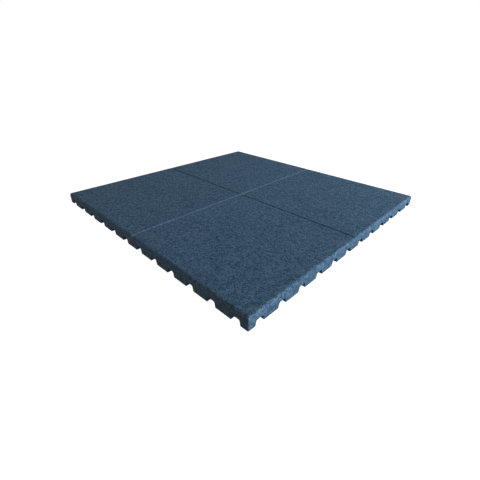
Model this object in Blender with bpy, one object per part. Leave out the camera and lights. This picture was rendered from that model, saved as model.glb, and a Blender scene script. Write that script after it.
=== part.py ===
"""Square floor tile moulded in one piece from bound rubber crumb.

The tread is flat, with rounded edges and two shallow V grooves that cross in the middle
and divide it into four quarters. The underside stands on rows of square feet. Between
the feet, drainage channels run both ways, from one side of the tile to the other.

Metres, +Z up. The origin is the middle of the square, at the level the feet stand on.
"""

import math

import bmesh
import bpy

# Driving dimensions
TILE_SIDE = 1.000
TILE_THICKNESS = 0.040
EDGE_RADIUS = 0.008  # round the tread
CORNER_RADIUS = 0.0025  # the four upright corners, seen from above

CHANNELS_EACH_WAY = 12
CHANNEL_PITCH = 0.0838
CHANNEL_WIDTH = 0.0305  # at the floor, between two feet
CHANNEL_DEPTH = 0.017
CHANNEL_FILLET = 0.005  # where a foot's side meets the channel's roof
FOOT_DRAFT = math.radians(12)  # lean of a foot's sides, which lets the tile out of its mould

GROOVE_WIDTH = 0.007  # at the tread
GROOVE_DEPTH = 0.0035

EDGE_SEGMENTS = 5
CORNER_SEGMENTS = 3
FILLET_SEGMENTS = 3
SMOOTH_UP_TO = math.radians(30)  # faces that meet at a flatter angle than this are one round

RUBBER_COLOUR = (0.040, 0.068, 0.104, 1.0)
RUBBER_ROUGHNESS = 0.85

# Worked out from them
HALF_SIDE = TILE_SIDE / 2
FEET_EACH_WAY = CHANNELS_EACH_WAY + 1
OUTSIDE = TILE_THICKNESS  # how far a cutting shape reaches past the tile


def clear_scene():
    for thing in list(bpy.data.objects):
        bpy.data.objects.remove(thing, do_unlink=True)


def add_object(name, bm):
    """Turns a bmesh into a named object in the scene."""
    bmesh.ops.recalc_face_normals(bm, faces=bm.faces)
    mesh = bpy.data.meshes.new(name)
    bm.to_mesh(mesh)
    bm.free()
    mesh.shade_smooth()
    mesh.set_sharp_from_angle(angle=SMOOTH_UP_TO)
    thing = bpy.data.objects.new(name, mesh)
    bpy.context.scene.collection.objects.link(thing)
    return thing


def make_cutter(thing):
    """Keeps a cutting shape out of the picture."""
    thing.hide_render = True
    thing.display_type = "WIRE"
    return thing


def rubber_material():
    material = bpy.data.materials.new("bound_rubber_crumb")
    material.use_nodes = True
    shader = material.node_tree.nodes["Principled BSDF"]
    shader.inputs["Base Color"].default_value = RUBBER_COLOUR
    shader.inputs["Roughness"].default_value = RUBBER_ROUGHNESS
    shader.inputs["Metallic"].default_value = 0.0
    return material


def square_outline(inset):
    """The tile's outline from above, drawn in by an inset, as points on a rounded square."""
    to_centre = HALF_SIDE - inset - CORNER_RADIUS
    outline = []
    for corner in range(4):
        for step in range(CORNER_SEGMENTS + 1):
            angle = math.pi / 2 * (corner + step / CORNER_SEGMENTS)
            outwards = math.pi / 2 * corner + math.pi / 4
            x = to_centre * math.sqrt(2) * math.cos(outwards) + CORNER_RADIUS * math.cos(angle)
            y = to_centre * math.sqrt(2) * math.sin(outwards) + CORNER_RADIUS * math.sin(angle)
            outline.append((x, y))
    return outline


def tile_blank(name):
    """The tile's outside: a slab with rounded corners and a quarter round up to its tread.

    It reaches below the floor, because the feet are shaped by the underside.
    """
    levels = [(0.0, -OUTSIDE)]
    for step in range(EDGE_SEGMENTS + 1):
        angle = math.pi / 2 * step / EDGE_SEGMENTS
        inset = EDGE_RADIUS * (1 - math.cos(angle))
        height = TILE_THICKNESS - EDGE_RADIUS * (1 - math.sin(angle))
        levels.append((inset, height))
    bm = bmesh.new()
    rings = [[bm.verts.new((x, y, z)) for x, y in square_outline(inset)] for inset, z in levels]
    for lower, upper in zip(rings, rings[1:]):
        for i in range(len(lower)):
            bm.faces.new((lower[i - 1], lower[i], upper[i], upper[i - 1]))
    bm.faces.new(reversed(rings[0]))
    bm.faces.new(rings[-1])
    return add_object(name, bm)


def channel_steps():
    """Half a channel's section, from the edge of its flat roof to the floor.

    Returns the roof's half width and a list of (step outwards, step down): first the
    fillet, then the foot's leaning side.
    """
    fillet_end = math.pi / 2 - FOOT_DRAFT
    angles = [fillet_end * i / FILLET_SEGMENTS for i in range(FILLET_SEGMENTS + 1)]
    outwards = [CHANNEL_FILLET * math.sin(angle) for angle in angles]
    down = [CHANNEL_FILLET * (1 - math.cos(angle)) for angle in angles]
    side_drop = CHANNEL_DEPTH - down[-1]
    outwards.append(outwards[-1] + side_drop * math.tan(FOOT_DRAFT))
    down.append(CHANNEL_DEPTH)
    roof_half_width = CHANNEL_WIDTH / 2 - outwards[-1]
    steps = [
        (outwards[i + 1] - outwards[i], down[i + 1] - down[i]) for i in range(len(down) - 1)
    ]
    return roof_half_width, steps


def underside_block(name):
    """A block whose underside is the whole pattern of feet.

    It starts as a sheet at the level of the channels' roofs, divided along the middle of
    every channel. Each field is inset to the outline of its foot and drawn down to the
    floor. The outer feet are whole here, and the tile's sides cut them off.
    """
    bm = bmesh.new()
    bmesh.ops.create_grid(
        bm,
        x_segments=FEET_EACH_WAY,
        y_segments=FEET_EACH_WAY,
        size=FEET_EACH_WAY * CHANNEL_PITCH / 2,
    )
    bmesh.ops.translate(bm, verts=bm.verts, vec=(0, 0, CHANNEL_DEPTH))
    bmesh.ops.reverse_faces(bm, faces=bm.faces)
    feet = list(bm.faces)
    roof_half_width, steps = channel_steps()
    for inset, drop in [(roof_half_width, 0.0), *steps]:
        bmesh.ops.inset_individual(bm, faces=feet, thickness=inset, depth=drop, use_even_offset=True)
    rim = [edge for edge in bm.edges if edge.is_boundary]
    raised = bmesh.ops.extrude_edge_only(bm, edges=rim)["geom"]
    for vert in (item for item in raised if isinstance(item, bmesh.types.BMVert)):
        vert.co.z = TILE_THICKNESS + OUTSIDE
    lid = [edge for edge in bm.edges if edge.is_boundary]
    bmesh.ops.contextual_create(bm, geom=lid)
    return make_cutter(add_object(name, bm))


def groove_cutter(name, turn):
    """A long V that stands above the tread and cuts one groove, turned about Z."""
    bm = bmesh.new()
    rise = OUTSIDE
    reach = HALF_SIDE + OUTSIDE
    half_width = GROOVE_WIDTH / 2 * (GROOVE_DEPTH + rise) / GROOVE_DEPTH
    section = [
        (0.0, TILE_THICKNESS - GROOVE_DEPTH),
        (half_width, TILE_THICKNESS + rise),
        (-half_width, TILE_THICKNESS + rise),
    ]
    end = bm.faces.new([bm.verts.new((-reach, y, z)) for y, z in section])
    drawn = bmesh.ops.extrude_face_region(bm, geom=[end])["geom"]
    far_end = [item for item in drawn if isinstance(item, bmesh.types.BMVert)]
    bmesh.ops.translate(bm, verts=far_end, vec=(2 * reach, 0, 0))
    cutter = make_cutter(add_object(name, bm))
    cutter.rotation_euler.z = turn
    return cutter


def add_boolean(thing, operation, cutter):
    modifier = thing.modifiers.new(cutter.name, "BOOLEAN")
    modifier.operation = operation
    modifier.solver = "EXACT"
    modifier.object = cutter


def rubber_tile():
    tile = tile_blank("rubber_tile")
    tile.data.materials.append(rubber_material())
    add_boolean(tile, "INTERSECT", underside_block("underside_pattern"))
    add_boolean(tile, "DIFFERENCE", groove_cutter("groove_along_x", 0.0))
    add_boolean(tile, "DIFFERENCE", groove_cutter("groove_along_y", math.pi / 2))
    return tile


def main():
    clear_scene()
    rubber_tile()


main()
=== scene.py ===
"""Looks of a square floor tile pressed from rubber crumb and binder.

The tile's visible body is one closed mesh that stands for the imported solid: a tread with
rounded edges and a cross of two grooves, an underside of square feet with drainage channels
both ways, and the sides between them. All its sizes are in metres.
"""

import math

import bpy
import numpy as np
from bpy.props import FloatProperty, FloatVectorProperty, IntProperty, PointerProperty
from mathutils import Matrix, Vector, noise


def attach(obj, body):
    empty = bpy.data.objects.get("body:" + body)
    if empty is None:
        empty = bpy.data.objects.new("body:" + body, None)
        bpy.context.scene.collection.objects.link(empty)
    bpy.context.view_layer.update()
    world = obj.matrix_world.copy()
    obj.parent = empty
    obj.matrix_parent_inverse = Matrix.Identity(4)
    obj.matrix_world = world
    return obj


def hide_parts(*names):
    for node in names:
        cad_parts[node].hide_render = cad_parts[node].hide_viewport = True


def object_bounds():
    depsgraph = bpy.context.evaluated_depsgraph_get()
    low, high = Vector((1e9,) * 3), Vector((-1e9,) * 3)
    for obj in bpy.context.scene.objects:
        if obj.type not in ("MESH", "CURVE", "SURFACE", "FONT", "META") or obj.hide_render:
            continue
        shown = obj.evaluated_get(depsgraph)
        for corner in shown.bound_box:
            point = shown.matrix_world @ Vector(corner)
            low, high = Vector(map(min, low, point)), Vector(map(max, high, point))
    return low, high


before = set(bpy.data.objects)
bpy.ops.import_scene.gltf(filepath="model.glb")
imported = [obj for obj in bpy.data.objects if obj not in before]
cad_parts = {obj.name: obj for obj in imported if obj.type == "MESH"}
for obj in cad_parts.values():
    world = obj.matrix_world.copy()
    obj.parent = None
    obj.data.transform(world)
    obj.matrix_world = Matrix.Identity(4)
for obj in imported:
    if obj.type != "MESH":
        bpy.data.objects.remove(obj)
CAD_LOW, CAD_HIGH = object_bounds()

bl_info = {
    "name": "Rubber floor tile",
    "version": (1, 0, 0),
    "blender": (4, 5, 0),
    "location": "3D View > Sidebar > Rubber tile",
    "description": "Builds a rubber crumb floor tile and the studio that it is shown in",
    "category": "Add Mesh",
}

HALF_SIDE = CAD_HIGH.x
THICKNESS = CAD_HIGH.z
SIDES = 4
TOLERANCE = 1e-6  # numbers that differ by less are taken as the same

# How finely the mesh follows each round
EDGE_STEPS = 5
GROOVE_STEPS = 2
FOOT_ROUND_STEPS = 2
FILLET_STEPS = 3
SHARP_ANGLE = math.radians(55)  # faces that meet at a flatter angle than this are one round


class TileShape(bpy.types.PropertyGroup):
    """Sizes of the tile's visible body."""

    edge_radius: FloatProperty(
        name="Edge round",
        description="Radius of the round between the tread and the sides",
        default=0.008,
        unit="LENGTH",
    )
    corner_radius: FloatProperty(
        name="Corner round",
        description="Radius of the four upright corners, seen from above",
        default=0.0025,
        unit="LENGTH",
    )
    channel_count: IntProperty(
        name="Channels",
        description="Drainage channels under the tile, each way",
        default=12,
    )
    channel_pitch: FloatProperty(
        name="Channel pitch",
        description="Distance between the middles of two channels",
        default=0.0838,
        unit="LENGTH",
    )
    channel_width: FloatProperty(
        name="Channel width",
        description="Distance between two feet at the floor, before their edges are worn round",
        default=0.0305,
        unit="LENGTH",
    )
    channel_depth: FloatProperty(
        name="Channel depth",
        description="Height of a channel's roof above the floor",
        default=0.017,
        unit="LENGTH",
    )
    channel_fillet: FloatProperty(
        name="Channel fillet",
        description="Radius where a foot's side meets a channel's roof",
        default=0.005,
        unit="LENGTH",
    )
    foot_draft: FloatProperty(
        name="Foot draft",
        description="Lean of a foot's sides",
        default=math.radians(12),
        unit="ROTATION",
    )
    foot_wear: FloatProperty(
        name="Foot wear",
        description="Radius worn onto the bottom edges of the feet",
        default=0.0008,
        unit="LENGTH",
    )
    groove_width: FloatProperty(
        name="Groove width",
        description="Width of a groove at the tread",
        default=0.007,
        unit="LENGTH",
    )
    groove_depth: FloatProperty(
        name="Groove depth",
        description="Depth of a groove below the tread",
        default=0.0035,
        unit="LENGTH",
    )
    lip_round: FloatProperty(
        name="Groove lips",
        description="Radius of a groove's lips",
        default=0.0026,
        unit="LENGTH",
    )
    groove_round: FloatProperty(
        name="Groove bottom",
        description="Radius of a groove's bottom",
        default=0.0013,
        unit="LENGTH",
    )
    unevenness: FloatProperty(
        name="Unevenness",
        description="How deep the surface sinks between its high places",
        default=0.0004,
        unit="LENGTH",
    )
    tread_step: FloatProperty(
        name="Tread step",
        description="Largest spacing of the mesh on the tread",
        default=0.005,
        unit="LENGTH",
    )
    foot_step: FloatProperty(
        name="Foot step",
        description="Largest spacing of the mesh under a foot",
        default=0.018,
        unit="LENGTH",
    )


class RubberFinish(bpy.types.PropertyGroup):
    """Colours and grain of the bound rubber crumb."""

    blue: FloatVectorProperty(
        name="Blue crumb",
        description="Colour of most of the crumb",
        default=(0.0240, 0.0565, 0.1040),
        subtype="COLOR",
    )
    teal: FloatVectorProperty(
        name="Teal crumb",
        description="Colour of the greener crumb among the rest",
        default=(0.0225, 0.0585, 0.0970),
        subtype="COLOR",
    )
    # Also painted shade: the pores take this colour, besides the unpigmented crumbs' own colour.
    dark: FloatVectorProperty(
        name="Dark crumb",
        description="Colour of crumb that took little pigment, and of the pores",
        default=(0.0120, 0.0230, 0.0360),
        subtype="COLOR",
    )
    pale: FloatVectorProperty(
        name="Pale specks",
        description="Colour of the few pale crumbs",
        default=(0.1200, 0.1800, 0.2400),
        subtype="COLOR",
    )
    # Painted sheen: grey added to the brighter crumbs, and taken from the darker, stands in for the
    # glints of the crumbs' faces.
    painted_sheen: FloatProperty(
        name="Painted sheen",
        description="How much greyer the brighter crumbs are than the darker ones",
        default=0.034,
        subtype="FACTOR",
    )
    crumb_size: FloatProperty(
        name="Crumb size",
        description="Size of the larger crumbs",
        default=0.0026,
        unit="LENGTH",
    )
    fine_size: FloatProperty(
        name="Fine crumb size",
        description="Size of the smallest crumbs, which fill the gaps",
        default=0.0012,
        unit="LENGTH",
    )
    crumb_lean: FloatProperty(
        name="Crumb lean",
        description="How steeply the faces of the larger crumbs lean",
        default=0.60,
        subtype="FACTOR",
    )
    fine_lean: FloatProperty(
        name="Fine crumb lean",
        description="How steeply the faces of the smallest crumbs lean",
        default=0.40,
        subtype="FACTOR",
    )
    relief: FloatProperty(
        name="Crumb relief",
        description="Height of a crumb's middle above its rim, and depth of a pore",
        default=0.0003,
        unit="LENGTH",
    )
    roughness: FloatProperty(
        name="Roughness",
        description="Mean roughness of the crumb's skin",
        default=0.90,
        subtype="FACTOR",
    )
    gloss: FloatProperty(
        name="Gloss",
        description="Strength of the crumb's reflections, 0.5 being a plastic's",
        default=0.24,
        subtype="FACTOR",
    )
    groove_skin: FloatProperty(
        name="Groove skin",
        description="Roughness of the smooth skin in the groove along Y",
        default=0.36,
        subtype="FACTOR",
    )
    # Painted light: the edge round, the upper sides and the grooves are paler down to a depth below
    # the tread, standing in for light from above.
    painted_toplight: FloatProperty(
        name="Painted toplight",
        description="How much paler the sides are near the tread, where their skin is scuffed",
        default=0.16,
        subtype="FACTOR",
    )
    # Painted shade: the sides are darker towards the floor, standing in for the shade near the
    # floor.
    floor_shade: FloatProperty(
        name="Floor shade",
        description="How much darker the sides are at the floor than at the tread",
        default=0.12,
        subtype="FACTOR",
    )


class StudioStage(bpy.types.PropertyGroup):
    """Floor, lights and camera."""

    floor_colour: FloatVectorProperty(
        name="Floor",
        description="Colour of the floor and of the wall behind it",
        default=(1.0, 1.0, 1.0),
        subtype="COLOR",
    )
    key_power: FloatProperty(
        name="Key light",
        description="Power of the large soft light beyond the right corner",
        default=133.0,
        unit="POWER",
    )
    side_power: FloatProperty(
        name="Side light",
        description="Power of the low light that faces the bright side",
        default=565.0,
        unit="POWER",
    )
    glint_power: FloatProperty(
        name="Glint light",
        description="Power of the broad light that glints on the lit side of a groove",
        default=18.0,
        unit="POWER",
    )
    sky_power: FloatProperty(
        name="Sky light",
        description="Power of the broad light above the shaded side",
        default=14.0,
        unit="POWER",
    )
    back_power: FloatProperty(
        name="Back light",
        description="Power of the low light behind the tile",
        default=4.0,
        unit="POWER",
    )
    corner_power: FloatProperty(
        name="Corner light",
        description="Power of the small light near the right corner",
        default=2.2,
        unit="POWER",
    )
    front_power: FloatProperty(
        name="Front fill",
        description="Power of the weak light that faces the shaded side",
        default=15.0,
        unit="POWER",
    )
    left_power: FloatProperty(
        name="Left fill",
        description="Power of the weak light at the left",
        default=1.5,
        unit="POWER",
    )
    fill_colour: FloatVectorProperty(
        name="Fill colour",
        description="Colour of the two fill lights",
        default=(1.0, 0.84, 0.70),
        subtype="COLOR",
    )
    camera_azimuth: FloatProperty(
        name="Camera azimuth",
        description="Turn of the camera round the tile, from facing +Y towards facing -X",
        default=math.radians(44.876),
        unit="ROTATION",
    )
    camera_elevation: FloatProperty(
        name="Camera elevation",
        description="Height of the camera above the horizon",
        default=math.radians(28.572),
        unit="ROTATION",
    )
    camera_roll: FloatProperty(
        name="Camera roll",
        description="Tilt of the camera about its own line of sight",
        default=math.radians(0.520),
        unit="ROTATION",
    )
    camera_distance: FloatProperty(
        name="Camera distance",
        description="Distance from the point on the floor that the camera looks at",
        default=1.0943,
        unit="LENGTH",
    )
    camera_aim: FloatVectorProperty(
        name="Camera aim",
        description="Point on the floor that the camera looks at",
        default=(0.1438, -0.1960, 0.0),
        subtype="XYZ",
        unit="LENGTH",
    )
    camera_lens: FloatProperty(
        name="Lens",
        description="Focal length for a sensor 36 mm wide",
        default=23.385,
        unit="CAMERA",
    )
    camera_shift: FloatVectorProperty(
        name="Camera shift",
        description="Shift of the frame across the lens's image, in picture widths",
        size=2,
        default=(0.01708, -0.01971),
    )


class Value:
    """A node's output that takes part in Python expressions. Each operator adds a Math node."""

    def __init__(self, net, socket):
        self.net = net
        self.socket = socket

    def out(self, name):
        """Another output of the same node."""
        return Value(self.net, self.socket.node.outputs[name])

    def math(self, operation, *others):
        """A Math node on this value and others, each another Value or a number."""
        inputs = {f"_{number}": value for number, value in enumerate((self, *others))}
        return self.net.add("ShaderNodeMath", {"operation": operation}, **inputs)

    def clamp(self):
        """The value, held between 0 and 1."""
        return self.math("MAXIMUM", 0.0).math("MINIMUM", 1.0)

    def over(self, level, slope):
        """0 up to a level, and from there up to 1 by a slope."""
        return ((self - level) * slope).clamp()

    def __add__(self, other):
        return self.math("ADD", other)

    def __sub__(self, other):
        return self.math("SUBTRACT", other)

    def __rsub__(self, other):
        return (self * -1.0).math("ADD", other)

    def __mul__(self, other):
        return self.math("MULTIPLY", other)

    __radd__ = __add__
    __rmul__ = __mul__


class Net:
    """A material's nodes."""

    def __init__(self, material):
        material.use_nodes = True
        self.tree = material.node_tree
        self.shader = self.tree.nodes["Principled BSDF"]

    def plug(self, slot, value):
        """Links a Value to an input, or sets the input to a plain value."""
        if isinstance(value, Value):
            self.tree.links.new(value.socket, slot)
        else:
            slot.default_value = value

    def add(self, kind, settings=None, **sockets):
        """Adds a node and returns its first output. Its settings are set before its sockets.

        A socket's name has _ for a space. A socket that shares its name with others goes by
        its number, as in _6.
        """
        node = self.tree.nodes.new(kind)
        for name, value in (settings or {}).items():
            setattr(node, name, value)
        for name, value in sockets.items():
            key = int(name[1:]) if name[0] == "_" else name.replace("_", " ")
            self.plug(node.inputs[key], value)
        return Value(self, node.outputs[0])

    def vector(self, operation, *values, **sockets):
        """Vector Math on vectors or colours."""
        inputs = {f"_{number}": value for number, value in enumerate(values)}
        return self.add("ShaderNodeVectorMath", {"operation": operation}, **inputs, **sockets)

    def mix(self, factor, first, second):
        """A colour between two, by a factor from 0 to 1."""
        mixed = self.add("ShaderNodeMix", {"data_type": "RGBA"}, _0=factor, _6=first, _7=second)
        return mixed.out(2)

    def cells(self, place, size):
        """Cells of a mean size about points strewn at random."""
        return self.add("ShaderNodeTexVoronoi", Vector=place, Scale=1 / size)

    def cell_lean(self, cells, place):
        """Height on a plane through each cell's middle that leans at random, per unit of slope."""
        arm = self.vector("SUBTRACT", place, cells.out("Position"))
        # A cell's colour is three random numbers from 0 to 1, here centred on 0
        lean = self.vector("SUBTRACT", cells.out("Color"), (0.5, 0.5, 0.5))
        return self.vector("DOT_PRODUCT", arm, lean).out("Value")

    def noise(self, place, size, detail):
        """Soft noise from 0 to 1, with waves of a given size."""
        return self.add("ShaderNodeTexNoise", Vector=place, Scale=1 / size, Detail=detail)


def opaque(colour):
    """A colour with the alpha that a node's socket asks for."""
    return (*colour, 1.0)


def spread(start, end, step):
    """Evenly spaced points between two that are further apart than a step, both left out."""
    count = math.ceil((end[0] - start[0]) / step - TOLERANCE)
    return [tuple(a + (b - a) * i / count for a, b in zip(start, end)) for i in range(1, count)]


def fill_in(section, step):
    """Adds points to a section wherever two neighbours are further apart than a step."""
    section = sorted(section)
    filled = []
    for point, next_point in zip(section, section[1:]):
        filled.append(point)
        filled += spread(point, next_point, step)
    filled.append(section[-1])
    return np.array(filled).T


def arc(turn, steps):
    """The sine and one minus the cosine at even steps of a turn, for a round of radius one."""
    return [(math.sin(turn * i / steps), 1 - math.cos(turn * i / steps)) for i in range(steps + 1)]


def both_ways(section):
    """A half section about 0, and its mirror image. Rounding makes one point of two that meet."""
    return {(sign * round(place, 7), value) for place, value in section for sign in (-1, 1)}


def groove_section(shape):
    """Half a groove's section, as (distance from its middle, depth) points."""
    flank = math.atan2(shape.groove_depth, shape.groove_width / 2)
    lip = shape.lip_round
    lip_start = shape.groove_width / 2 + lip * math.tan(flank / 2)
    hollow = shape.groove_round
    bottom = shape.groove_depth - hollow * (1 / math.cos(flank) - 1)
    section = [(lip_start - lip * sine, lip * rise) for sine, rise in arc(flank, GROOVE_STEPS)]
    section += [(hollow * sine, bottom - hollow * rise) for sine, rise in arc(flank, GROOVE_STEPS)]
    section.append((lip_start + lip, 0.0))
    return section


def tread_section(shape):
    """Places across the tread, and how far the surface is below the tread's level there."""
    radius = shape.edge_radius
    edge = [
        (HALF_SIDE - radius * rise, radius * (1 - sine))
        for sine, rise in arc(math.pi / 2, EDGE_STEPS)
    ]
    edge.append((HALF_SIDE - radius - shape.lip_round, 0.0))
    return fill_in(both_ways(edge) | both_ways(groove_section(shape)), shape.tread_step)


def channel_section(shape):
    """Half a channel's section, as (distance from its middle, height above the floor) points."""
    turn = math.pi / 2 - shape.foot_draft
    wear = shape.foot_wear
    fillet = shape.channel_fillet
    foot_flat = shape.channel_width / 2 + wear * math.tan(turn / 2)
    side_drop = shape.channel_depth - fillet * (1 - math.cos(turn))
    roof_flat = shape.channel_width / 2 - side_drop * math.tan(shape.foot_draft)
    roof_flat -= fillet * math.sin(turn)
    section = [(foot_flat - wear * sine, wear * rise) for sine, rise in arc(turn, FOOT_ROUND_STEPS)]
    section += [
        (roof_flat + fillet * sine, shape.channel_depth - fillet * rise)
        for sine, rise in arc(turn, FILLET_STEPS)
    ]
    section.append((0.0, shape.channel_depth))
    return section


def underside_section(shape):
    """Places across the underside, and the height of the surface above the floor there."""
    wear = shape.foot_wear
    section = both_ways(
        (HALF_SIDE - wear * (1 - sine), wear * rise)
        for sine, rise in arc(math.pi / 2, FOOT_ROUND_STEPS)
    )
    section.add((0.0, 0.0))
    for channel in range(shape.channel_count):
        middle = (channel - (shape.channel_count - 1) / 2) * shape.channel_pitch
        section |= {(middle + place, height) for place, height in both_ways(channel_section(shape))}
    return fill_in(section, shape.foot_step)


class Body:
    """Vertices and faces of the tile, gathered as they are made."""

    def __init__(self):
        self.points = []
        self.faces = []

    def add_points(self, points):
        """Adds an array of points, and returns their numbers in an array of the same layout."""
        first = sum(len(block) for block in self.points)
        self.points.append(points.reshape(-1, 3))
        return np.arange(first, first + points[..., 0].size).reshape(points.shape[:-1])

    def add_lattice(self, numbers, values, upwards):
        """Faces of a lattice whose height is the larger of a value along X and one along Y.

        Where the two values meet, a cell is cut along the mitre between them.
        """
        both = np.maximum(values[:, None], values[None, :])
        middles = (values[1:] + values[:-1]) / 2
        meant = np.maximum(middles[:, None], middles[None, :])
        one_way = (both[:-1, :-1] + both[1:, 1:]) / 2
        other_way = (both[1:, :-1] + both[:-1, 1:]) / 2
        bent = np.abs(one_way - other_way) > TOLERANCE
        first_fits = np.abs(one_way - meant) <= np.abs(other_way - meant)
        for i in range(len(values) - 1):
            for j in range(len(values) - 1):
                around = ((i, j), (i + 1, j), (i + 1, j + 1), (i, j + 1))
                a, b, c, d = (int(numbers[place]) for place in around)
                if not bent[i, j]:
                    cell = [(a, b, c, d)]
                elif first_fits[i, j]:
                    cell = [(a, b, c), (a, c, d)]
                else:
                    cell = [(a, b, d), (b, c, d)]
                self.faces += cell if upwards else [face[::-1] for face in cell]

    def add_band(self, lower, upper):
        """Faces between two closed rings with the same number of points."""
        for i in range(len(lower)):
            corners = (lower[i - 1], lower[i], upper[i], upper[i - 1])
            self.faces.append(tuple(int(number) for number in corners))

    def add_rows(self, ring, line, height, shares, upwards):
        """Bands of the sides, from a ring of points on a line part of the way to a height.

        A share says how far each row of new points is on its way. Returns the last row.
        """
        for share in shares:
            row = line.copy()
            row[:, 2] += (height - row[:, 2]) * share
            new_ring = self.add_points(row)
            if upwards:
                self.add_band(ring, new_ring)
            else:
                self.add_band(new_ring, ring)
            ring = new_ring
        return ring

    def add_stitching(self, lower, lower_at, upper, upper_at):
        """Triangles between two closed rings whose points don't face each other."""
        lower = [*lower, lower[0]]
        upper = [*upper, upper[0]]
        lower_at = [*lower_at, lower_at[0] + SIDES]
        upper_at = [*upper_at, upper_at[0] + SIDES]
        i = j = 0
        while i < len(lower) - 1 or j < len(upper) - 1:
            last_upper = j == len(upper) - 1
            if last_upper or (i < len(lower) - 1 and lower_at[i + 1] <= upper_at[j + 1]):
                self.faces.append((int(lower[i]), int(lower[i + 1]), int(upper[j])))
                i += 1
            else:
                self.faces.append((int(lower[i]), int(upper[j + 1]), int(upper[j])))
                j += 1

    def mesh(self, name):
        """All that was gathered, as a mesh."""
        mesh = bpy.data.meshes.new(name)
        mesh.from_pydata(np.concatenate(self.points).tolist(), [], self.faces)
        mesh.update()
        return mesh


def rounded_plan(places, radius, reach):
    """A square lattice, as arrays of X and Y, with its rings near the edge rounded at the corners.

    A ring is the points at one distance from the edge. Those further in than reach stay square.
    """
    x, y = np.meshgrid(places, places, indexing="ij")
    inset_x = HALF_SIDE - np.abs(x)
    inset_y = HALF_SIDE - np.abs(y)
    ring = np.minimum(inset_x, inset_y)
    along = np.abs(inset_x - inset_y)
    angle = math.pi / 4 * (1 - along / radius)
    near = ring + radius * (1 - np.cos(angle))
    far = ring + radius * (1 - np.sin(angle))
    moved = (ring <= reach + TOLERANCE) & (along < radius)
    x = np.where(moved, np.sign(x) * (HALF_SIDE - np.where(inset_x <= inset_y, near, far)), x)
    y = np.where(moved, np.sign(y) * (HALF_SIDE - np.where(inset_x <= inset_y, far, near)), y)
    return x, y


def rim(grid):
    """The outermost entries of a lattice, counterclockwise seen from above."""
    return np.concatenate([grid[:-1, 0], grid[-1, :-1], grid[:0:-1, -1], grid[0, :0:-1]])


def rim_places(places):
    """How far round the square each entry of rim() is, counting 1 for each side."""
    along = (places[:-1] + HALF_SIDE) / (2 * HALF_SIDE)
    return np.concatenate([side + along for side in range(SIDES)])


# The texture map, in shares of its width: a square for the tread, one for each quarter of the
# underside, and a strip for each half of each side
TREAD_SQUARE = 0.70
UNDERSIDE_SQUARE = 0.30
UNDERSIDE_CORNERS = ((0.70, 0.0), (0.70, 0.30), (0.70, 0.60), (0.0, 0.70))
STRIPS_CORNER = (0.30, 0.70)
STRIP_LENGTH = 0.40
STRIP_HEIGHT = 0.0375
MAP_GAP = 0.002


def read(items, name, columns, kind=np.float32):
    """One property of a mesh's vertices, corners or faces, as an array."""
    values = np.empty(len(items) * columns, kind)
    items.foreach_get(name, values)
    return values.reshape(-1, columns)


def spread_flat(places, heights):
    """A lattice laid flat: for each point its distance along X and Y over the surface, -1 to 1."""
    steps = np.hypot(np.diff(places), np.diff(heights))
    distance = np.concatenate([[0.0], np.cumsum(steps)])
    share = distance / distance[-1] * 2 - 1
    return np.stack(np.meshgrid(share, share, indexing="ij"), axis=-1).reshape(-1, 2)


def on_map(places, corner, width, height):
    """Places from 0 to 1 across a field of the map, as places on the whole map."""
    return np.array(corner) + MAP_GAP + places * (width - 2 * MAP_GAP, height - 2 * MAP_GAP)


def face_means(values, sizes):
    """The mean over each face's corners, given back to each of them."""
    first = np.cumsum(sizes) - sizes
    means = np.add.reduceat(values, first) / sizes[:, None]
    return np.repeat(means, sizes, axis=0)


def on_strips(points, middles):
    """Places of the sides' points on the map, where middles are those of the points' faces."""
    faces_x = np.abs(middles[:, 0]) > np.abs(middles[:, 1])
    along = np.where(faces_x, points[:, 1], points[:, 0])
    half = np.where(faces_x, middles[:, 1], middles[:, 0]) > 0
    positive = np.where(faces_x, middles[:, 0], middles[:, 1]) > 0
    strip = 4 * faces_x + 2 * positive + half
    corner = np.array(STRIPS_CORNER) + strip[:, None] * (0.0, STRIP_HEIGHT)
    places = np.stack([np.abs(along) / HALF_SIDE, points[:, 2] / THICKNESS], axis=-1)
    return on_map(places, corner, STRIP_LENGTH, STRIP_HEIGHT)


def add_map(mesh, flat_places, tread_end, under_end):
    """Lays the faces out on a texture map. Those of the tread come first, then the underside's."""
    vertex = read(mesh.loops, "vertex_index", 1, np.int32).ravel()
    sizes = read(mesh.polygons, "loop_total", 1, np.int32).ravel()
    face = np.repeat(np.arange(len(sizes)), sizes)[:, None]

    flat = np.zeros((len(mesh.vertices), 2))
    flat[: len(flat_places)] = flat_places
    flat = flat[vertex]
    tread = on_map((flat + 1) / 2, (0.0, 0.0), TREAD_SQUARE, TREAD_SQUARE)
    quarter = (face_means(flat, sizes) > 0) @ (2, 1)
    corner = np.array(UNDERSIDE_CORNERS)[quarter]
    under = on_map(np.abs(flat), corner, UNDERSIDE_SQUARE, UNDERSIDE_SQUARE)
    points = read(mesh.vertices, "co", 3)[vertex].astype(float)
    sides = on_strips(points, face_means(points, sizes))

    spots = np.where(face < under_end, under, sides)
    spots = np.where(face < tread_end, tread, spots)
    layer = mesh.uv_layers.new(name="OFBake")
    layer.uv.foreach_set("vector", spots.astype(np.float32).ravel())


# The sides: the share of the thickness at which the mesh from below is stitched to the one from
# above, and how far each row of points is on its way there
STITCH_LEVEL = 0.55
LOWER_ROWS = (0.08, 0.36, 0.68, 1.0)
UPPER_ROWS = (0.2, 0.6)


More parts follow.
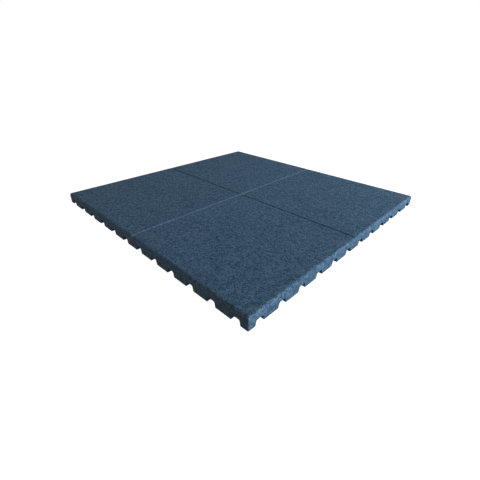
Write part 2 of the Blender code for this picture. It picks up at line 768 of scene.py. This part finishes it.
def body_mesh(shape):
    """The tile's closed mesh, before its surface is made uneven."""
    body = Body()
    places, drop = tread_section(shape)
    x, y = rounded_plan(places, shape.corner_radius, shape.edge_radius)
    z = THICKNESS - np.maximum(drop[:, None], drop[None, :])
    tread_points = np.stack([x, y, z], axis=-1)
    tread = body.add_points(tread_points)
    body.add_lattice(tread, drop, upwards=True)
    tread_end = len(body.faces)

    under_places, rise = underside_section(shape)
    x, y = rounded_plan(under_places, shape.corner_radius, shape.foot_wear)
    under_points = np.stack([x, y, np.maximum(rise[:, None], rise[None, :])], axis=-1)
    under = body.add_points(under_points)
    body.add_lattice(under, rise, upwards=False)
    under_end = len(body.faces)

    height = STITCH_LEVEL * THICKNESS
    lower = body.add_rows(rim(under), rim(under_points), height, LOWER_ROWS, upwards=True)
    upper = body.add_rows(rim(tread), rim(tread_points), height, UPPER_ROWS, upwards=False)
    body.add_stitching(lower, rim_places(under_places), upper, rim_places(places))
    mesh = body.mesh("rubber_tile_body")
    flat_places = np.concatenate([spread_flat(places, drop), spread_flat(under_places, rise)])
    add_map(mesh, flat_places, tread_end, under_end)
    return mesh


# The unevenness: how deep the surface lies on average, in shares of the greatest depth, and the
# lengths and shares of the two waves in it
MEAN_SINK = 0.5
BROAD_WAVE = 0.060
BROAD_SHARE = 0.45
SHORT_WAVE = 0.012
SHORT_SHARE = 0.35


def make_uneven(mesh, depth):
    """Sinks each vertex along its normal, by a little that changes smoothly over the surface."""
    points = read(mesh.vertices, "co", 3)
    normals = read(mesh.vertices, "normal", 3)
    sink = []
    for point in points:
        place = Vector(point)
        broad = noise.noise(place / BROAD_WAVE)
        short = noise.noise(place / SHORT_WAVE)
        sink.append(min(1.0, max(0.0, MEAN_SINK + BROAD_SHARE * broad + SHORT_SHARE * short)))
    points = points - normals * (np.array(sink)[:, None] * depth)
    mesh.vertices.foreach_set("co", points.astype(np.float32).ravel())
    mesh.update()


# The crumbs' outlines wander by a noise of this size, and this far in crumb sizes
WANDER_SIZE = 0.0035
WANDER = 0.5

# The rubber's tone, held between 0 and 1: the sum of four patterns that each run from 0 to 1,
# times these, less a level
COARSE_SHARE = 1.2
FINE_SHARE = 0.7
CLOUD_SHARE = 0.5
CLOUD_SIZE = 0.070
BLOTCH_SHARE = 1.6
BLOTCH_SIZE = 0.012
TONE_LEVEL = 1.50

# What the tone does: strength of the colour at tone 0, how much stronger it is at tone 1, and the
# tone at which the painted sheen adds no grey
LEAST_STRENGTH = 0.60
STRENGTH_RANGE = 0.8
PLAIN_TONE = 0.26

# Pores begin at a distance from a crumb's middle, in crumb sizes; their darkening is painted shade.
# Unpigmented crumbs and specks are those whose random number is over a level. Each has a slope at
# its rim, and a share of its own colour.
PORE_LEVEL = 0.55
PORE_SLOPE = 3.0
PORE_SHADE_SHARE = 0.5
UNPIGMENTED_LEVEL = 0.93
UNPIGMENTED_SLOPE = 30.0
UNPIGMENTED_SHARE = 0.6
SPECK_LEVEL = 0.955
SPECK_SLOPE = 50.0
SPECK_SHARE = 0.6

# What is below the tread counts in full from two thirds of a millimetre
SUNK_SLOPE = 1500.0
TOPLIGHT_DEPTH = 0.014  # how far below the tread the painted top light ends

ROUGHNESS_RANGE = 0.12
SKIN_REACH = 0.7  # half the width of the groove's smooth skin, in groove widths
SKIN_FLATNESS = 0.75  # how much of the crumb's relief the skin hides


class Crumb:
    """The patterns that the rubber's colour, roughness and relief have in common.

    coarse and fine are how far a place is from the middle of its crumb, in crumb sizes, and
    coarse_random and fine_random are random numbers, the same all over a crumb. sunk is how far
    a place is below the tread.
    """

    def __init__(self, net, finish, shape):
        self.place = net.add("ShaderNodeTexCoord").out("Object")
        wander = net.noise(self.place, WANDER_SIZE, detail=2.0).out("Color")
        reach = (finish.crumb_size * WANDER,) * 3
        self.ragged = net.vector("MULTIPLY_ADD", wander, reach, self.place)
        self.coarse = net.cells(self.ragged, finish.crumb_size)
        self.fine = net.cells(self.ragged, finish.fine_size)
        self.coarse_random = net.add("ShaderNodeSeparateColor", Color=self.coarse.out("Color"))
        self.fine_random = net.add("ShaderNodeSeparateColor", Color=self.fine.out("Color"))
        self.pore = self.coarse.over(PORE_LEVEL, PORE_SLOPE)
        self.axes = net.add("ShaderNodeSeparateXYZ", Vector=self.place)
        self.sunk = THICKNESS - shape.unevenness - self.axes.out("Z")
        self.below_tread = (self.sunk * SUNK_SLOPE).clamp()


def crumb_colour(net, crumb, finish):
    """Crumbs of every tone, with unpigmented crumbs and pale specks, painted shade in the pores and
    towards the floor, a painted sheen on the brighter crumbs, and painted light on the upper sides
    and in the grooves.
    """
    cloud = net.noise(crumb.place, CLOUD_SIZE, detail=3.0)
    blotch = net.noise(crumb.place, BLOTCH_SIZE, detail=3.0)
    tone = COARSE_SHARE * crumb.coarse_random + FINE_SHARE * crumb.fine_random
    tone = (tone + CLOUD_SHARE * cloud + BLOTCH_SHARE * blotch - TONE_LEVEL).clamp()
    green = crumb.coarse_random.out("Green")
    colour = net.mix(green, opaque(finish.blue), opaque(finish.teal))
    colour = net.vector("SCALE", colour, Scale=LEAST_STRENGTH + STRENGTH_RANGE * tone)
    # Painted sheen: grey that rises with the tone, standing in for the crumbs' glints.
    painted_sheen = net.vector("SCALE", (1.0, 1.0, 1.0), Scale=finish.painted_sheen * (tone - PLAIN_TONE))
    colour = net.vector("ADD", colour, painted_sheen)
    unpigmented = crumb.coarse_random.out("Blue").over(UNPIGMENTED_LEVEL, UNPIGMENTED_SLOPE)
    # Painted shade in the pores, and the own dark colour of unpigmented crumbs.
    shade_and_unpigmented = (PORE_SHADE_SHARE * crumb.pore).math("MAXIMUM", UNPIGMENTED_SHARE * unpigmented)
    colour = net.mix(shade_and_unpigmented, colour, opaque(finish.dark))
    speck = crumb.fine_random.out("Green").over(SPECK_LEVEL, SPECK_SLOPE)
    colour = net.mix(SPECK_SHARE * speck, colour, opaque(finish.pale))
    # Painted shade: darker towards the floor, from the tread down to the underside.
    floor_shade_share = finish.floor_shade * (1.0 - crumb.axes.out("Z") * (1 / THICKNESS)).clamp()
    # Painted light: paler from just below the tread down to 14 mm, on the edge round, the upper
    # sides and the grooves' flanks.
    toplit = crumb.below_tread * (1.0 - crumb.sunk * (1 / TOPLIGHT_DEPTH)).clamp()
    return net.vector("SCALE", colour, Scale=(1.0 - floor_shade_share) * (1.0 + finish.painted_toplight * toplit))


def groove_mask(crumb, shape):
    """1 on the smooth skin in the groove along Y, and 0 elsewhere."""
    from_middle = crumb.axes.out("X").math("ABSOLUTE")
    mask = crumb.below_tread * from_middle.math("LESS_THAN", shape.groove_width * SKIN_REACH)
    mask = mask * crumb.sunk.math("LESS_THAN", shape.groove_depth + shape.unevenness)
    groove_end = HALF_SIDE - shape.edge_radius / 4  # where the tread's edge turns down
    return mask * crumb.axes.out("Y").math("ABSOLUTE").math("LESS_THAN", groove_end)


def crumb_roughness(crumb, finish, groove):
    """The crumbs' skin, each a little more or less rough, and the groove's smoother skin."""
    least = finish.roughness - ROUGHNESS_RANGE / 2
    roughness = least + ROUGHNESS_RANGE * crumb.fine_random.out("Blue")
    return roughness - (finish.roughness - finish.groove_skin) * groove


def crumb_relief(net, crumb, finish, groove):
    """Crumbs whose faces lean at random and bulge a little, with pores between them."""
    height = finish.crumb_lean * net.cell_lean(crumb.coarse, crumb.ragged)
    height = height + finish.fine_lean * net.cell_lean(crumb.fine, crumb.ragged)
    height = height - finish.relief * (crumb.coarse.math("POWER", 2.0) + crumb.pore)
    height = height * (1.0 - SKIN_FLATNESS * groove)
    return net.add("ShaderNodeBump", Height=height, Distance=1.0)


def rubber_crumb(finish, shape):
    """Bound rubber crumb: coarse and fine crumbs that lean every way, with pores between them."""
    material = bpy.data.materials.new("bound_rubber_crumb")
    net = Net(material)
    inputs = net.shader.inputs
    crumb = Crumb(net, finish, shape)
    groove = groove_mask(crumb, shape)
    net.plug(inputs["Base Color"], crumb_colour(net, crumb, finish))
    net.plug(inputs["Roughness"], crumb_roughness(crumb, finish, groove))
    net.plug(inputs["Specular IOR Level"], finish.gloss)
    net.plug(inputs["Normal"], crumb_relief(net, crumb, finish, groove))
    return material


class BuildTileBody(bpy.types.Operator):
    """Builds the tile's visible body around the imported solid"""

    bl_idname = "rubber_tile.body"
    bl_label = "Tile body"

    def execute(self, context):
        shape = context.scene.tile_shape
        mesh = body_mesh(shape)
        make_uneven(mesh, shape.unevenness)
        mesh.shade_smooth()
        mesh.set_sharp_from_angle(angle=SHARP_ANGLE)
        mesh.materials.append(rubber_crumb(context.scene.rubber_finish, shape))
        body = bpy.data.objects.new("rubber_tile_body", mesh)
        context.scene.collection.objects.link(body)
        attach(body, "root")
        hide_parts("rubber_tile")
        return {"FINISHED"}


WHITE = (1.0, 1.0, 1.0)

# Points that the lamps face
TREAD_CENTRE = (0.0, 0.0, THICKNESS)
RIGHT_QUARTER = (0.3, 0.3, THICKNESS)


def soft_light(name, place, size, power, aim=TREAD_CENTRE, colour=WHITE, shines=False):
    """An area light that faces a point. Only a light that shines shows in reflections."""
    lamp = bpy.data.lights.new(name, "AREA")
    lamp.shape = "RECTANGLE"
    lamp.size, lamp.size_y = size
    lamp.energy = power
    lamp.color = colour
    thing = bpy.data.objects.new(name, lamp)
    thing.location = place
    thing.rotation_euler = (Vector(place) - Vector(aim)).to_track_quat("Z", "Y").to_euler()
    thing.visible_glossy = shines
    bpy.context.scene.collection.objects.link(thing)


def add_lights(stage):
    """The lamps, each at its place and with its width and height."""
    warm = stage.fill_colour
    soft_light("key_light", (3.09, 3.09, 2.42), (2.0, 1.2), stage.key_power)
    soft_light("side_light", (4.85, 0.94, 0.78), (2.0, 1.2), stage.side_power)
    soft_light("glint_light", (1.28, 1.15, 2.46), (1.8, 1.2), stage.glint_power, shines=True)
    soft_light("sky_light", (0.2, -0.9, 2.4), (2.4, 1.6), stage.sky_power)
    soft_light("back_light", (0.17, 1.93, 0.48), (0.8, 0.48), stage.back_power)
    soft_light("corner_light", (0.8, 0.8, 0.5), (0.4, 0.3), stage.corner_power, aim=RIGHT_QUARTER)
    soft_light(
        "front_fill", (1.0, -2.4, 0.62), (2.0, 0.8), stage.front_power, colour=warm, shines=True
    )
    soft_light("left_fill", (-1.3, -0.35, 0.45), (1.4, 0.8), stage.left_power, colour=warm)


FLOOR_REACH = 30.0  # from the floor's middle to its sides
FLOOR_GREY = (0.12, 0.12, 0.12)  # what the floor gives back of the light, besides its glow


def pale_floor(colour):
    """A matt floor that glows a little, so that shadows on it stay faint."""
    material = bpy.data.materials.new("studio_floor")
    material.use_nodes = True
    shader = material.node_tree.nodes["Principled BSDF"]
    shader.inputs["Base Color"].default_value = opaque(FLOOR_GREY)
    shader.inputs["Roughness"].default_value = 1.0
    shader.inputs["Specular IOR Level"].default_value = 0.0
    shader.inputs["Emission Color"].default_value = opaque(colour)
    shader.inputs["Emission Strength"].default_value = 1.0
    return material


def add_floor(stage):
    """A flat square under the tile. It shows in reflections, but doesn't light the tile."""
    corners = [
        (x * FLOOR_REACH, y * FLOOR_REACH, 0.0) for x, y in ((-1, -1), (1, -1), (1, 1), (-1, 1))
    ]
    mesh = bpy.data.meshes.new("studio_floor")
    mesh.from_pydata(corners, [], [(0, 1, 2, 3)])
    mesh.materials.append(pale_floor(stage.floor_colour))
    floor = bpy.data.objects.new("studio_floor", mesh)
    bpy.context.scene.collection.objects.link(floor)
    floor.visible_diffuse = False


def add_world(scene, stage):
    """The pale surroundings. They show in reflections, but don't light the tile."""
    world = bpy.data.worlds.new("studio_world")
    scene.world = world
    world.use_nodes = True
    background = world.node_tree.nodes["Background"]
    background.inputs["Color"].default_value = opaque(stage.floor_colour)
    background.inputs["Strength"].default_value = 1.0
    world.cycles_visibility.diffuse = False


def add_camera(scene, stage):
    """The camera, turned round the point that it looks at and moved back from it."""
    camera = bpy.data.cameras.new("camera")
    camera.sensor_width = 36.0
    camera.lens = stage.camera_lens
    camera.shift_x, camera.shift_y = stage.camera_shift
    viewer = bpy.data.objects.new("camera", camera)
    turned = Matrix.Rotation(stage.camera_azimuth, 4, "Z")
    turned = turned @ Matrix.Rotation(math.pi / 2 - stage.camera_elevation, 4, "X")
    turned = turned @ Matrix.Rotation(stage.camera_roll, 4, "Z")
    back = turned.to_3x3() @ Vector((0.0, 0.0, 1.0))
    place = Vector(stage.camera_aim) + back * stage.camera_distance
    viewer.matrix_world = Matrix.Translation(place) @ turned
    scene.collection.objects.link(viewer)
    scene.camera = viewer


class BuildStage(bpy.types.Operator):
    """Sets up the floor, the soft lights and the camera"""

    bl_idname = "rubber_tile.stage"
    bl_label = "Studio"

    def execute(self, context):
        scene = context.scene
        stage = scene.studio_stage
        add_floor(stage)
        add_lights(stage)
        add_world(scene, stage)
        add_camera(scene, stage)
        scene.view_settings.view_transform = "Standard"
        return {"FINISHED"}


class RubberTilePanel(bpy.types.Panel):
    """Sizes, finish and stage of the rubber tile"""

    bl_idname = "VIEW3D_PT_rubber_tile"
    bl_label = "Rubber tile"
    bl_space_type = "VIEW_3D"
    bl_region_type = "UI"
    bl_category = "Rubber tile"

    def draw(self, context):
        scene = context.scene
        groups = (scene.tile_shape, scene.rubber_finish, scene.studio_stage)
        for group, operator in zip(groups, (BuildTileBody, None, BuildStage)):
            box = self.layout.box()
            for name in group.bl_rna.properties.keys():
                if name not in {"rna_type", "name"}:
                    box.prop(group, name)
            if operator:
                box.operator(operator.bl_idname)


CLASSES = (TileShape, RubberFinish, StudioStage, BuildTileBody, BuildStage, RubberTilePanel)


def register():
    for cls in CLASSES:
        bpy.utils.register_class(cls)
    bpy.types.Scene.tile_shape = PointerProperty(type=TileShape)
    bpy.types.Scene.rubber_finish = PointerProperty(type=RubberFinish)
    bpy.types.Scene.studio_stage = PointerProperty(type=StudioStage)


def unregister():
    del bpy.types.Scene.studio_stage
    del bpy.types.Scene.rubber_finish
    del bpy.types.Scene.tile_shape
    for cls in reversed(CLASSES):
        bpy.utils.unregister_class(cls)


def main():
    register()
    bpy.ops.rubber_tile.body()
    bpy.ops.rubber_tile.stage()


if __name__ == "__main__":
    main()
